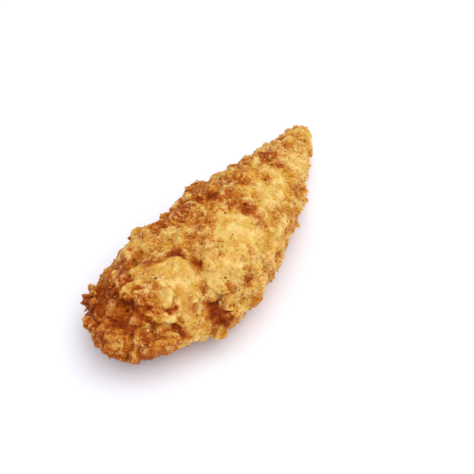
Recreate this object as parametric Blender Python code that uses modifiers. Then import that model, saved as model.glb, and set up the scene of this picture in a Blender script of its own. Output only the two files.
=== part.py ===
"""A crispy breaded chicken tender that lies on its flattened underside.

The tender is one solid: a fillet with a thick rounded end and a thin tip, swollen into a few
smooth pillows with creases between them, and covered in fried lumps, crumbs and flakes.

Frame: +X runs from the thick end to the tip, +Z is up, and the origin is the middle of the
footprint, on the surface that the tender lies on. Sizes are in millimetres until the last
step, which brings the mesh to Blender's metres.
"""

import math
import random

import bmesh
import bpy
import numpy as np
from mathutils import Matrix, Vector, noise

MM = 0.001
NAME = "tender"

# The bare fillet, before its crust
LENGTH = 116.5
STATIONS = (0.0, 0.15, 0.30, 0.42, 0.54, 0.70, 0.85, 1.0)  # shares of the length, to the tip
HALF_WIDTH = (21.0, 23.2, 22.8, 17.6, 16.0, 12.0, 9.0, 5.8)  # before the ends are rounded off
SIDE_SHIFT = (0.0, -0.4, -4.1, -5.7, -3.9, -3.4, 0.6, 5.6)  # of the middle line, along +Y
THICKNESS = (20.0, 24.0, 26.0, 26.4, 25.6, 22.0, 15.0, 8.0)
AXIS_HEIGHT = (10.0, 11.5, 12.5, 12.7, 12.3, 10.8, 8.2, 4.8)  # of the widest line
UPPER_SHARE = 0.52  # of the thickness, above the widest line
UNDERSIDE = 0.8  # how far up the bare underside is cut flat
BALL_DIVISIONS = 7  # of the icosphere that the fillet is stretched from
WHOLE_RELIEF = 0.5  # how far up a face looks, as the Z of its normal, to carry all its relief

# Smooth pillows on the upper side: x, y, half-length, half-width, turn in degrees, rise
PILLOWS = (
    (-34.5, -4.5, 12.5, 10.5, -30.0, 2.4),  # the lobe near the thick end
    (-10.0, -14.0, 18.0, 9.5, 8.0, 1.6),  # the long pale face
    (-28.5, 14.0, 7.5, 4.5, 6.0, 1.6),
    (-33.5, -18.0, 3.4, 4.4, -20.0, 1.2),
    (20.0, -6.0, 14.0, 6.5, 14.0, 1.0),
    (41.0, 1.0, 12.0, 6.0, 12.0, 0.8),
)
PILLOW_CORE = 0.78  # share of a pillow's reach that carries no crumbs
PILLOW_RIM = 1.1  # share of its reach from which they lie as thick as elsewhere
PILLOW_FACING = 0.2  # faces that look up less than this aren't part of a pillow

# Shelves with steep rims, measured as the pillows are
SHELVES = (
    (-41.0, -3.0, 7.2, 4.2, -66.0, 2.0),  # the flap that overhangs the thick end
    (-37.5, -6.0, 3.6, 3.4, 0.0, 0.8),
    (-16.5, 2.0, 4.0, 3.0, 30.0, -1.3),  # a sunken patch
    (3.0, -8.5, 2.6, 2.2, 0.0, -0.9),
)
SHELF_POWER = 6  # the higher, the flatter a shelf and the steeper its rim

# Creases pressed into the upper side: depth, half-width, and the points along it
CREASES = (
    (3.0, 2.0, ((-38, 16), (-34, 10), (-31, 8), (-28, 5), (-24, 3), (-23, -2), (-25, -7), (-27, -11))),
    (1.8, 2.0, ((-27, -11), (-29, -14), (-30, -18), (-29, -24))),  # the open end of the first
    (2.4, 2.6, ((-44, 14), (-47, 10), (-49, 6), (-49, 2), (-48, -3), (-46, -7), (-42, -12))),
    (1.3, 2.0, ((-24, 3), (-20, -2), (-17, -4))),
    (1.4, 2.2, ((1, 4), (5, 1), (8, -1), (9, -4))),
    (1.0, 1.8, ((-3, -9), (3, -9), (8, -6))),
    (1.2, 2.2, ((24, 3), (29, 5), (33, 4))),
)

# Crests raised along a line of points, measured as the creases are
CRESTS = (
    (1.5, 1.3, ((-44, 4), (-46, 1), (-45, -3), (-42, -8), (-39, -9))),  # the rim of the flap
    (1.2, 1.2, ((-24, -9), (-26, -13), (-27, -16))),
    (1.0, 1.4, ((20, 8), (28, 8), (36, 9))),
)
SWIRL = (-11.0, 7.0, 4.8)  # a snail of batter on the crag: x, y and radius
SWIRL_CREST = (1.6, 1.2)  # its height and half-width
SWIRL_TURNS = 1.4
SWIRL_START = 0.25  # share of its radius where it begins
SWIRL_STEPS = 40

# Broad and fine unevenness of the fillet: height and length of the waves
WAVES = ((0.9, 9.0), (0.45, 4.0))

# Lumps put where they stand out: middle, half-sizes, and turn in degrees about the surface
LUMPS = (
    ((-55.0, 8.0, 13.0), (2.4, 2.0, 1.3), 80.0),  # round the thick end
    ((-58.0, 0.5, 8.0), (3.0, 2.0, 1.4), 60.0),
    ((-53.5, 3.5, 17.0), (4.0, 2.4, 2.0), 20.0),
    ((-52.0, 9.5, 18.0), (3.6, 2.2, 1.8), -30.0),
    ((-49.0, 15.0, 17.0), (3.4, 2.4, 1.8), 40.0),
    ((-42.5, 15.5, 18.0), (3.2, 2.0, 1.6), 10.0),
    ((-46.0, 20.0, 12.0), (2.8, 2.0, 2.6), 30.0),
    ((-50.0, 17.5, 10.0), (3.0, 2.2, 2.8), 50.0),
    ((-54.0, 14.5, 9.0), (2.8, 2.2, 3.2), 60.0),
    ((-57.6, 11.5, 12.5), (2.2, 2.0, 4.0), 40.0),  # two knobs that stand out from it
    ((-47.8, 15.0, 12.0), (1.9, 1.6, 4.4), 20.0),
    ((-54.5, -1.5, 12.0), (4.2, 3.0, 2.2), -50.0),
    ((-51.0, -6.5, 8.0), (5.2, 3.4, 2.6), -55.0),  # the roll low on the thick end
    ((-46.5, -12.0, 8.5), (5.2, 3.2, 2.6), -45.0),
    ((-46.0, -7.5, 15.0), (3.0, 2.2, 1.8), -40.0),
    ((-42.5, -10.5, 16.5), (4.2, 2.8, 2.2), -40.0),
    ((-39.5, -14.0, 14.0), (3.4, 2.4, 1.8), -50.0),
    ((-36.0, -19.5, 7.0), (3.6, 2.6, 2.0), -20.0),
    ((-25.5, -13.0, 21.0), (2.9, 1.3, 1.4), -60.0),  # beside the open crease
    ((-24.5, -19.0, 17.0), (3.4, 2.2, 1.7), 10.0),
    ((-18.0, -21.5, 15.0), (3.6, 2.2, 1.6), 15.0),
    ((-27.0, 8.5, 24.0), (3.4, 2.6, 2.0), 20.0),  # above the crease
    ((-22.0, 5.5, 25.0), (3.0, 2.2, 1.9), -30.0),
    ((-33.0, 13.0, 20.0), (2.8, 2.0, 1.4), 60.0),
    ((-19.0, 16.5, 20.0), (4.2, 2.4, 1.9), 15.0),  # along the crag
    ((-17.5, 11.5, 25.0), (3.6, 2.4, 2.0), -20.0),
    ((-9.0, 14.5, 21.0), (3.8, 2.4, 2.0), 0.0),
    ((-4.0, 11.5, 23.0), (3.4, 2.4, 2.1), -10.0),
    ((-3.0, 5.5, 25.0), (3.2, 2.4, 2.0), 30.0),
    ((2.0, 9.5, 22.0), (3.6, 2.2, 1.9), 0.0),
    ((2.5, 4.0, 25.0), (3.0, 2.0, 1.6), 60.0),
    ((6.0, 6.5, 23.0), (3.2, 2.2, 1.7), -20.0),
    ((-0.5, 13.0, 20.5), (4.2, 2.6, 3.0), 0.0),
    ((12.0, 7.5, 20.0), (3.4, 2.0, 1.3), 5.0),
    ((19.0, 9.5, 17.0), (3.8, 2.2, 1.6), 8.0),
    ((14.0, 1.0, 22.5), (3.2, 2.4, 1.4), 20.0),
    ((25.5, 6.0, 18.5), (4.2, 2.4, 2.4), 10.0),  # along the thin end
    ((30.5, 6.5, 16.5), (4.0, 2.2, 2.2), 20.0),
    ((56.5, 1.5, 6.0), (3.2, 2.2, 2.4), -60.0),
)
LUMP_UNEVENNESS = 0.5
LUMP_WAVES = 1.3  # the higher, the more bumps a lump has
NOISE_SPREAD = 50  # how far apart in the noise two lumps' forms are taken
LUMP_LIFT = 0.3  # share of its thickness by which a lump's middle lies above the surface

# Thin flakes that stick out: middle, half-sizes, turn, and tilt of the flake's plane
FLAKES = (
    ((-54.0, 14.0, 13.0), (3.2, 2.4, 1.0), 60.0, 30.0),
    ((-57.0, -1.5, 7.0), (3.0, 2.2, 1.0), 80.0, -40.0),
    ((-55.0, -4.5, 6.0), (3.8, 2.4, 1.2), -30.0, 60.0),
    ((-45.0, 3.0, 22.0), (3.0, 2.0, 1.1), 150.0, -15.0),  # the beak of the flap
    ((-32.0, 20.5, 13.0), (3.4, 1.8, 1.0), 20.0, 50.0),
    ((14.0, 12.0, 14.0), (3.4, 2.0, 1.0), 10.0, 55.0),
    ((42.0, 9.5, 11.0), (2.4, 1.4, 0.9), 30.0, 60.0),
    ((-28.5, -19.0, 16.0), (3.0, 1.8, 1.1), -80.0, 30.0),
    ((-30.0, -25.0, 5.0), (3.6, 2.4, 1.2), 0.0, 50.0),
)

# Crumbs strewn over the rest: how many, their half-sizes, and the least gap between middles
CRUMBS = 520
CRUMB_SIZE = (1.3, 2.8)
CRUMB_SIZE_POWER = 1.6  # the higher, the fewer are large
CRUMB_LENGTH = (0.9, 1.6)  # of its size
CRUMB_THICKNESS = (0.7, 1.1)  # of its size
CRUMB_TILT = 40.0
CRUMB_GAP = 2.2
CRUMB_LOWEST = 2.0  # no crumb's middle is lower than this
SEED = 8

# The skin that joins them
VOXEL = 0.65
RELAX_ROUNDS = 1
RELAX_FACTOR = 0.5
TRIANGLES = 11250  # before the underside is cut
SHARP_ANGLE = 50.0


def along(values, share):
    """The value at each share of the length: a smooth curve through the stations."""
    stations = np.array(STATIONS)
    values = np.array(values)
    slopes = np.gradient(values, stations)
    i = np.clip(np.searchsorted(stations, share) - 1, 0, len(stations) - 2)
    width = stations[i + 1] - stations[i]
    t = (share - stations[i]) / width
    start = (2 * t**3 - 3 * t**2 + 1) * values[i] + (t**3 - 2 * t**2 + t) * width * slopes[i]
    end = (3 * t**2 - 2 * t**3) * values[i + 1] + (t**3 - t**2) * width * slopes[i + 1]
    return start + end


def on_fillet(direction):
    """Points of the bare fillet for unit vectors, one a row, each coordinate in its column."""
    share = (direction[:, 0] + 1) / 2
    upper = direction[:, 2] > 0
    half_height = along(THICKNESS, share) * np.where(upper, UPPER_SHARE, 1 - UPPER_SHARE)
    return np.column_stack(
        (
            (share - 0.5) * LENGTH,
            along(SIDE_SHIFT, share) + along(HALF_WIDTH, share) * direction[:, 1],
            along(AXIS_HEIGHT, share) + half_height * direction[:, 2],
        )
    )


def reach(points, patch):
    """How far out of an oval patch's middle each point is in plan: 1 on its rim."""
    x, y, half_length, half_width, turn = patch[:5]
    c, s = math.cos(math.radians(turn)), math.sin(math.radians(turn))
    dx, dy = points[:, 0] - x, points[:, 1] - y
    return np.hypot((c * dx + s * dy) / half_length, (c * dy - s * dx) / half_width)


def path_distance(points, path):
    """Distance in plan from each point to a line of points."""
    best = np.full(len(points), np.inf)
    for a, b in zip(np.array(path[:-1], float), np.array(path[1:], float)):
        t = np.clip((points[:, :2] - a) @ (b - a) / ((b - a) @ (b - a)), 0, 1)
        nearest = a + t[:, None] * (b - a)
        best = np.minimum(best, np.linalg.norm(points[:, :2] - nearest, axis=1))
    return best


def along_path(points, size, half_width, path):
    """A rounded crest of the given size along a line of points."""
    return size * np.exp(-((path_distance(points, path) / half_width) ** 2))


def swirl_path():
    """A spiral in plan, from the middle of the swirl out to its radius."""
    x, y, radius = SWIRL
    path = []
    for i in range(SWIRL_STEPS + 1):
        share = i / SWIRL_STEPS
        angle = 2 * math.pi * SWIRL_TURNS * share
        out = radius * (SWIRL_START + (1 - SWIRL_START) * share)
        path.append((x + out * math.cos(angle), y + out * math.sin(angle)))
    return path


def relief(points, normals):
    """How far each point of the fillet rises above its bare form."""
    rise = np.zeros(len(points))
    for pillow in PILLOWS:
        dome = np.clip(1 - reach(points, pillow) ** 2, 0, 1)
        rise = np.maximum(rise, pillow[5] * np.sqrt(dome))
    for shelf in SHELVES:
        rise += shelf[5] * np.sqrt(np.clip(1 - reach(points, shelf) ** SHELF_POWER, 0, 1))
    for depth, half_width, path in CREASES:
        rise -= along_path(points, depth, half_width, path)
    for height, half_width, path in CRESTS:
        rise += along_path(points, height, half_width, path)
    rise += along_path(points, *SWIRL_CREST, swirl_path())
    rise *= np.clip(normals[:, 2] / WHOLE_RELIEF, 0, 1)
    for height, length in WAVES:
        rise += height * np.array([noise.noise(Vector(p) / length) for p in points])
    return rise


def crumb_share(points, normals):
    """How thick the crumbs lie at each point, from 0 on a pillow to 1."""
    share = np.ones(len(points))
    for pillow in PILLOWS:
        edge = (reach(points, pillow) - PILLOW_CORE) / (PILLOW_RIM - PILLOW_CORE)
        edge = np.minimum(share, np.clip(edge, 0, 1))
        share = np.where(normals[:, 2] > PILLOW_FACING, edge, share)
    return share


def new_object(name, mesh, collection):
    obj = bpy.data.objects.new(name, mesh)
    collection.objects.link(obj)
    return obj


def make_fillet(name, collection):
    """The fillet with its pillows and creases, as a ball stretched over its sections."""
    bm = bmesh.new()
    bmesh.ops.create_icosphere(bm, subdivisions=BALL_DIVISIONS, radius=1.0)
    directions = np.array([v.co.normalized() for v in bm.verts])
    for v, p in zip(bm.verts, on_fillet(directions)):
        v.co = p
    bm.normal_update()
    points = np.array([v.co for v in bm.verts])
    normals = np.array([v.normal for v in bm.verts])
    for v, height in zip(bm.verts, relief(points, normals)):
        v.co += v.normal * height
    bm.normal_update()
    mesh = bpy.data.meshes.new(name)
    bm.to_mesh(mesh)
    bm.free()
    return new_object(name, mesh, collection)


def surface_frame(normal, turn, tilt):
    """A rotation whose Z is the normal and whose X heads in plan along turn, tilted about X."""
    ahead = Vector((math.cos(math.radians(turn)), math.sin(math.radians(turn)), 0.0))
    x = (ahead - normal * ahead.dot(normal)).normalized()
    frame = Matrix((x, normal.cross(x), normal)).transposed()
    return frame @ Matrix.Rotation(math.radians(tilt), 3, "X")


def make_lump(name, collection, middle, rotation, sizes, draw):
    """One uneven ball of fried batter, with its half-sizes along its own axes."""
    bm = bmesh.new()
    bmesh.ops.create_icosphere(bm, subdivisions=2, radius=1.0)
    offset = Vector([draw.uniform(-NOISE_SPREAD, NOISE_SPREAD) for _ in range(3)])
    stretch = Matrix.Translation(middle) @ rotation.to_4x4() @ Matrix.Diagonal((*sizes, 1.0))
    for v in bm.verts:
        swell = noise.noise(v.co * LUMP_WAVES + offset)
        v.co = stretch @ (v.co * (1 + LUMP_UNEVENNESS * swell))
    mesh = bpy.data.meshes.new(name)
    bm.to_mesh(mesh)
    bm.free()
    return new_object(name, mesh, collection)


def make_placed(fillet, collection, draw):
    """The lumps and flakes that have a place of their own, each on the surface nearest to it."""
    for i, (middle, sizes, turn) in enumerate(LUMPS):
        _, spot, normal, _ = fillet.closest_point_on_mesh(Vector(middle))
        middle = spot + normal * sizes[2] * LUMP_LIFT
        make_lump(f"lump_{i}", collection, middle, surface_frame(normal, turn, 0), sizes, draw)
    for i, (middle, sizes, turn, tilt) in enumerate(FLAKES):
        _, spot, normal, _ = fillet.closest_point_on_mesh(Vector(middle))
        frame = surface_frame(normal, turn, tilt)
        middle = spot + normal * sizes[2] * LUMP_LIFT
        make_lump(f"flake_{i}", collection, middle, frame, sizes, draw)


def make_crumbs(fillet, collection, draw):
    """Crumbs over the rough parts of the fillet, no two closer than CRUMB_GAP."""
    points = np.array([v.co for v in fillet.data.vertices])
    normals = np.array([v.normal for v in fillet.data.vertices])
    share = crumb_share(points, normals)
    order = list(range(len(points)))
    draw.shuffle(order)
    taken = []
    for i in order:
        if len(taken) == CRUMBS:
            break
        spot = points[i]
        if draw.random() > share[i] or spot[2] < CRUMB_LOWEST:
            continue
        if taken and np.linalg.norm(np.array(taken) - spot, axis=1).min() < CRUMB_GAP:
            continue
        taken.append(spot)
        normal = Vector(normals[i])
        size = CRUMB_SIZE[0] + np.ptp(CRUMB_SIZE) * draw.random() ** CRUMB_SIZE_POWER
        sizes = (size * draw.uniform(*CRUMB_LENGTH), size, size * draw.uniform(*CRUMB_THICKNESS))
        frame = surface_frame(normal, draw.uniform(0, 360), draw.uniform(-CRUMB_TILT, CRUMB_TILT))
        middle = Vector(spot) + normal * sizes[2] * LUMP_LIFT
        make_lump(f"crumb_{i}", collection, middle, frame, sizes, draw)


def evaluated_mesh(obj):
    graph = bpy.context.evaluated_depsgraph_get()
    return bpy.data.meshes.new_from_object(obj.evaluated_get(graph))


def join(fillet, crust):
    """The fillet and all the pieces of its crust in one solid, thinned to what it needs."""
    union = fillet.modifiers.new("union", "BOOLEAN")
    union.operation = "UNION"
    union.operand_type = "COLLECTION"
    union.collection = crust
    union.solver = "MANIFOLD"
    fillet.data = evaluated_mesh(fillet)
    fillet.modifiers.clear()
    for piece in list(crust.objects):
        bpy.data.objects.remove(piece)
    skin = fillet.modifiers.new("skin", "REMESH")
    skin.mode = "VOXEL"
    skin.voxel_size = VOXEL
    fillet.data = evaluated_mesh(fillet)
    fillet.modifiers.clear()
    relax = fillet.modifiers.new("relax", "SMOOTH")
    relax.factor = RELAX_FACTOR
    relax.iterations = RELAX_ROUNDS
    thin = fillet.modifiers.new("thin", "DECIMATE")
    thin.ratio = TRIANGLES / (2 * len(fillet.data.polygons))
    fillet.data = evaluated_mesh(fillet)
    fillet.modifiers.clear()


def finish(obj, material):
    """Cuts the underside flat, and brings the solid to its place, in metres."""
    bm = bmesh.new()
    bm.from_mesh(obj.data)
    cut = bmesh.ops.bisect_plane(
        bm,
        geom=bm.verts[:] + bm.edges[:] + bm.faces[:],
        plane_co=(0, 0, UNDERSIDE),
        plane_no=(0, 0, -1),
        clear_outer=True,
    )
    rim = [e for e in cut["geom_cut"] if isinstance(e, bmesh.types.BMEdge)]
    bmesh.ops.holes_fill(bm, edges=rim)
    bmesh.ops.triangulate(bm, faces=bm.faces[:])
    corners = np.array([v.co for v in bm.verts])
    low, high = corners.min(0), corners.max(0)
    shift = Vector((-(low[0] + high[0]) / 2, -(low[1] + high[1]) / 2, -low[2]))
    for v in bm.verts:
        v.co = (v.co + shift) * MM
    bmesh.ops.recalc_face_normals(bm, faces=bm.faces[:])
    bm.to_mesh(obj.data)
    bm.free()
    obj.data.shade_smooth()
    obj.data.set_sharp_from_angle(angle=math.radians(SHARP_ANGLE))
    obj.data.materials.clear()
    obj.data.materials.append(material)


def crust_material():
    material = bpy.data.materials.new("golden_crust")
    material.use_nodes = True
    shader = material.node_tree.nodes["Principled BSDF"]
    shader.inputs["Base Color"].default_value = (0.72, 0.40, 0.12, 1.0)
    shader.inputs["Roughness"].default_value = 0.55
    shader.inputs["Metallic"].default_value = 0.0
    return material


def main():
    for obj in list(bpy.data.objects):
        bpy.data.objects.remove(obj)
    collection = bpy.data.collections.new("chicken_tender")
    crust = bpy.data.collections.new("crust_pieces")
    for made in (collection, crust):
        bpy.context.scene.collection.children.link(made)
    draw = random.Random(SEED)
    tender = make_fillet(NAME, collection)
    make_placed(tender, crust, draw)
    make_crumbs(tender, crust, draw)
    join(tender, crust)
    finish(tender, crust_material())


main()
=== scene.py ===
"""The looks of a crispy breaded chicken tender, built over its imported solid.

The crust grows from the solid's own mesh. A fine skin is laid over it and swells into bubbles,
lumps and curled flakes are fused into that skin where the batter is craggy, and crumbs too fine
for the skin lie on it as small solids of their own. Ground pepper is a piece of its own.

Sizes are in millimetres, in the frame's axes: +X from the thick end to the tip, +Z up.
"""

import itertools
import math
import random

import bmesh
import bpy
import numpy as np
from mathutils import Matrix, Vector, noise
from mathutils.bvhtree import BVHTree


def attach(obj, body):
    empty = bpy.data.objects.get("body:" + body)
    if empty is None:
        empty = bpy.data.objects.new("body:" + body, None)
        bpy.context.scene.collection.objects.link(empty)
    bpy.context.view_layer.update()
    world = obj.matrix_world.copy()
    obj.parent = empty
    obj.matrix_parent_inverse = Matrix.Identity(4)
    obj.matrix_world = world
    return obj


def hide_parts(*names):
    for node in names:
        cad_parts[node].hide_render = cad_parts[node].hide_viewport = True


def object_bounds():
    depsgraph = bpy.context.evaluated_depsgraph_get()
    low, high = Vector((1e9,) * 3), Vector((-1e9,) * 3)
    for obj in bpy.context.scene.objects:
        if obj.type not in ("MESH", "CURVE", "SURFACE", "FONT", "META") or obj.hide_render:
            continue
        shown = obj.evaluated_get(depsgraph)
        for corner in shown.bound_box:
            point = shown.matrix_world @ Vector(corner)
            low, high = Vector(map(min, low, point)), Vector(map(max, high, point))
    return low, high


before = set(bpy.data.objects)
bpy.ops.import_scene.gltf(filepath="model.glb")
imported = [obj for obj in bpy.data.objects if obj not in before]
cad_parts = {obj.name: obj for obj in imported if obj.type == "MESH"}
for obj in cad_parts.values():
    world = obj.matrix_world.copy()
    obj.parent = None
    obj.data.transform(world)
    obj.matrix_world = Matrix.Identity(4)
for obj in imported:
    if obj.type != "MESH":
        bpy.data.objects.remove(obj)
cad_low, cad_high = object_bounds()

MM = 0.001
NODE = "tender"
SEED = 7

# How craggy the crust is, from 0 for smooth to 1, on its sides and in ovals of the upper side:
# x, y, half-length, half-width, turn in degrees, cragginess
SIDE_CRAG = 0.53
SIDE_CRAG_SPREAD = 0.2  # how much craggier the +Y side is than that, and the -Y side smoother
SIDE_REACH = 15.0  # how far from the middle that difference is complete
TOP_STEEPNESS = 2.5  # how quickly the upper side gives way to the sides
TOP_CRAG = 0.4  # between the ovals
CRAG_ZONES = (
    (-48.6, 1.6, 12.0, 20.0, 0.0, 0.35),  # the thick end
    (-2.6, 13.6, 26.0, 10.0, -8.0, 0.48),  # the crest
    (-28.6, 17.1, 9.0, 5.0, 10.0, 0.15),  # the pale start of the crest
    (-11.6, 11.0, 6.5, 6.0, 0.0, 0.1),  # the swirl
    (-16.1, 1.6, 8.0, 6.0, 20.0, 0.3),  # the hollow between crest and face
    (-34.6, -3.4, 13.0, 11.0, -30.0, 0.08),  # the lobe
    (-44.2, -1.8, 5.5, 5.0, -60.0, 0.03),  # the flap on the lobe
    (-11.6, -11.4, 19.0, 10.0, 8.0, 0.15),  # the long pale face
    (-36.1, -16.4, 4.0, 5.0, -20.0, 0.1),  # the low end of the lobe
    (-49.8, 7.2, 5.0, 7.0, 10.0, 0.08),  # the hollow behind the flap
    (-20.6, -17.4, 9.0, 3.5, 5.0, 0.6),  # the craggy edge under the face
    (13.4, -4.4, 13.0, 8.0, 14.0, 0.2),  # the thin end
    (37.4, -0.4, 15.0, 6.5, 12.0, 0.25),  # the tip
    (27.4, 6.6, 12.0, 4.0, 12.0, 0.65),  # the far edge of the thin end
)
ZONE_EDGE = 0.4  # how gradually the ovals end, as a share of their size
ZONE_WOBBLE = (5.0, 0.3)  # the size and depth of the bays in their borders

# Smoother crust low on the sides and round the tip: x, y, z, radius, cragginess
ROLLS = (
    (-58.7, 1.7, 12.5, 4.5, 0.1),
    (-51.7, -9.6, 11.6, 5.5, 0.1),
    (-46.9, -11.4, 9.2, 4.5, 0.1),
    (-40.0, -15.0, 12.0, 5.5, 0.15),
    (-53.5, 11.0, 11.5, 7.0, 0.35),
    (-29.0, 23.0, 14.5, 6.0, 0.15),
    (55.0, 3.0, 6.0, 11.0, 0.1),
    (40.0, 5.0, 10.0, 11.0, 0.3),
    (26.0, 7.0, 14.0, 11.0, 0.4),
)

# Places where the solid's steep steps are softened: x, y, z, radius
SOFT_PLACES = (
    (-27.6, -9.4, 18.5, 6.0),
    (-12.6, 8.1, 25.5, 5.5),
    (-3.6, 5.1, 26.5, 3.5),
    (-25.6, 1.6, 24.0, 5.0),
    (-16.6, 1.6, 24.5, 5.0),
    (2.4, -6.4, 25.0, 4.0),
    (-46.2, 1.4, 22.0, 4.5),
    (-43.8, -2.2, 22.4, 4.5),
)
SOFT_ROUNDS = 60

# The crust's relief: the size of its features, how high they stand on smooth crust, and how
# much higher on craggy crust
LARGE_BUBBLES = (3.6, 0.1, 0.3)
SMALL_BUBBLES = (1.8, 0.08, 0.2)
RUFFLES = (3.0, 0.1, 0.3)
SWELLS = (6.0, 0.3, 0.0)
TINY_BUBBLES = (1.1, 0.18, 0.12)
WRINKLES = (1.4, 0.2, 0.18)
SUNK, SUNK_CRAGGY = 0.4, 0.55  # how far the skin starts inside the solid to make room for them
CORE_WARP = (2.5, 0.9)  # the size and strength of what bends the bubbles out of round
SKIN_WARP = (1.2, 0.4)  # the same for the tiny ones

# Creases in the crust: half-width, depth, and the points of the path
CREASES = (
    (1.5, 0.8, ((-38.6, 14.1, 21.5), (-36.6, 10.6, 24.0), (-33.1, 7.4, 24.8), (-29.1, 3.8, 25.0))),
    (1.2, 0.9, ((-29.1, 3.8, 25.0), (-25.8, 0.8, 24.2), (-26.0, -1.2, 23.8))),
    (1.0, 0.5, ((-26.0, -1.2, 23.8), (-25.2, -4.4, 22.2), (-24.0, -7.7, 22.7), (-24.6, -9.4, 22))),
    (1.1, 0.6, ((-25.6, -6.4, 20.5), (-27.5, -7.9, 19.1), (-29.1, -9.6, 17.9), (-30.5, -13.4, 15.6))),
    (1.5, 0.5, ((-32.1, -14.8, 17.6), (-33.5, -16.6, 14.8), (-34.6, -17.8, 12.3), (-36.8, -18, 8.9))),
    (0.9, 1.0, ((-40.4, -8.8, 20.6), (-43.8, -7.4, 20.0), (-44.8, -4.9, 18.0), (-46.6, -2.2, 15.2))),
    (1.0, 0.6, ((-46.3, 4.9, 19.0), (-47.2, 1.9, 18.5), (-47.1, -0.7, 17.0))),
    (1.3, 0.4, ((-52.7, 2.9, 15.0), (-50.1, 0.8, 15.8), (-47.4, -2.7, 15.0), (-48.4, -4.2, 14.2))),
    (1.0, 0.4, ((-43.7, -9.0, 14.7), (-43.4, -12.4, 12.5), (-42.8, -15.6, 10.3))),
    (0.9, 0.6, ((-2.6, 6.6, 26.5), (-2.9, 4.2, 27.9), (-6.0, 4.0, 27.7))),
    (0.9, 0.6, ((23.6, -8.9, 18.0), (21.8, -10.6, 17.6), (20.3, -11.8, 16.6))),
)

# Crisp ridges: half-width, height, and the points of the path
RIDGES = (
    # the edge of the flap on the lobe, and its beak
    (0.8, 0.8, ((-38.7, 1.9, 24.0), (-39.3, -0.1, 24.9), (-39.6, -3.3, 24.6), (-40.3, -6.0, 23.6))),
    (0.8, 0.7, ((-40.3, -6.0, 23.6), (-42.6, -6.8, 21.5), (-44.4, -5.5, 19.8), (-44.9, -2.9, 18.5))),
    (0.9, 1.0, ((-46.4, 4.9, 21.0), (-45.2, 3.7, 22.4), (-43.8, 1.9, 23.3))),
    # the rim of the lobe, the crest behind it, and the tip
    (1.0, 0.4, ((-39.8, 11.0, 22.6), (-35.9, 6.8, 24.0), (-33.3, 3.6, 24.6), (-29.7, -0.2, 25.1))),
    (1.0, 0.6, ((-33.1, 22.2, 16.9), (-29.8, 22.5, 17.0), (-26.9, 21.5, 18.6), (-22.6, 19.4, 20.4))),
    (0.6, 0.8, ((23.2, -3.0, 20.6), (26.2, -3.8, 19.4), (25.7, -5.8, 18.8), (24.3, -6.8, 18.2))),
    (0.7, 0.7, ((14.4, 9.6, 24.0), (18.1, 4.2, 24.8), (23.3, 4.4, 21.6), (26.8, 2.8, 21.0))),
)

# Curled strands of batter: half-thickness, height of the middle, and the points of the path
STRANDS = (
    # the edge of the crest
    (0.6, 0.5, ((-24.5, 16.0, 22.5), (-21.5, 15.6, 22.6), (-19.0, 15.2, 22.3), (-17.6, 14.0, 23.0))),
    (0.6, 0.5, ((-4.1, 9.1, 25.2), (-1.0, 9.8, 25.0), (3.4, 9.5, 24.0), (6.7, 8.2, 22.9))),
    (0.6, 0.5, ((6.7, 8.2, 22.9), (10.4, 9.6, 22.6), (13.0, 8.0, 23.4), (10.9, 5.6, 25.0))),
    # the thick end
    (0.6, 0.6, ((-43.5, 10.7, 19.6), (-44.4, 11.8, 17.0), (-44.8, 13.3, 13.4))),
    (0.6, 0.6, ((-45.8, 7.3, 22.4), (-47.0, 7.2, 20.8), (-46.8, 9.2, 17.3))),
    (0.5, 0.5, ((-46.3, 5.5, 21.2), (-46.3, 4.2, 19.3), (-45.6, 2.6, 19.0))),
    (0.8, 0.6, ((-53.0, -1.5, 17.0), (-54.8, -3.7, 13.3), (-56.3, -2.6, 9.2), (-56.8, -2.2, 7.6))),
    (0.6, 0.5, ((-56.8, 0.3, 14.0), (-57.8, 0.2, 10.3), (-58.2, -1.8, 9.2))),
    (0.5, 0.5, ((-49.2, 1.8, 16.3), (-50.1, -1.6, 17.8), (-49.6, -3.6, 17.0))),
    (0.9, 0.5, ((-48.9, -7.1, 14.3), (-46.8, -10.0, 14.6), (-45.3, -12.5, 12.8), (-45.3, -12, 10.6))),
    (0.7, 0.4, ((-53.4, 9.5, 15.3), (-55.3, 8.1, 15.0), (-55.5, 5.0, 15.0), (-55.3, 1.2, 15.6))),
    (0.6, 0.5, ((-46.9, -2.8, 17.2), (-46.3, -4.9, 16.2), (-47.2, -7.8, 15.4), (-49.0, -4.6, 14.3))),
    (0.5, 0.5, ((-42.0, -8.6, 17.0), (-43.4, -9.6, 16.2), (-43.0, -11.4, 15.0))),
    (0.5, 0.5, ((-52.0, 14.4, 14.0), (-54.0, 12.6, 14.6), (-54.6, 10.4, 15.0))),
)
SWIRL = (-13.2, 9.2, 25.0)  # the middle of the curl of batter on the crest
SWIRL_RADII = (5.2, 0.9)
SWIRL_TURNS = 2.8
SWIRL_SIZE = 0.5
SWIRL_LIFT = 0.2
STRAND_ROUNDS = 12  # of smoothing along each, which carries it over the gaps between bumps
BEAD_GAP = 0.6  # between the beads of a strand, in half-thicknesses
BEAD_SIZES = (0.8, 1.1)
BEAD_FORM = (2, 1.0, 0.0, 0.35)  # level of detail, flattening, bend and unevenness

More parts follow.
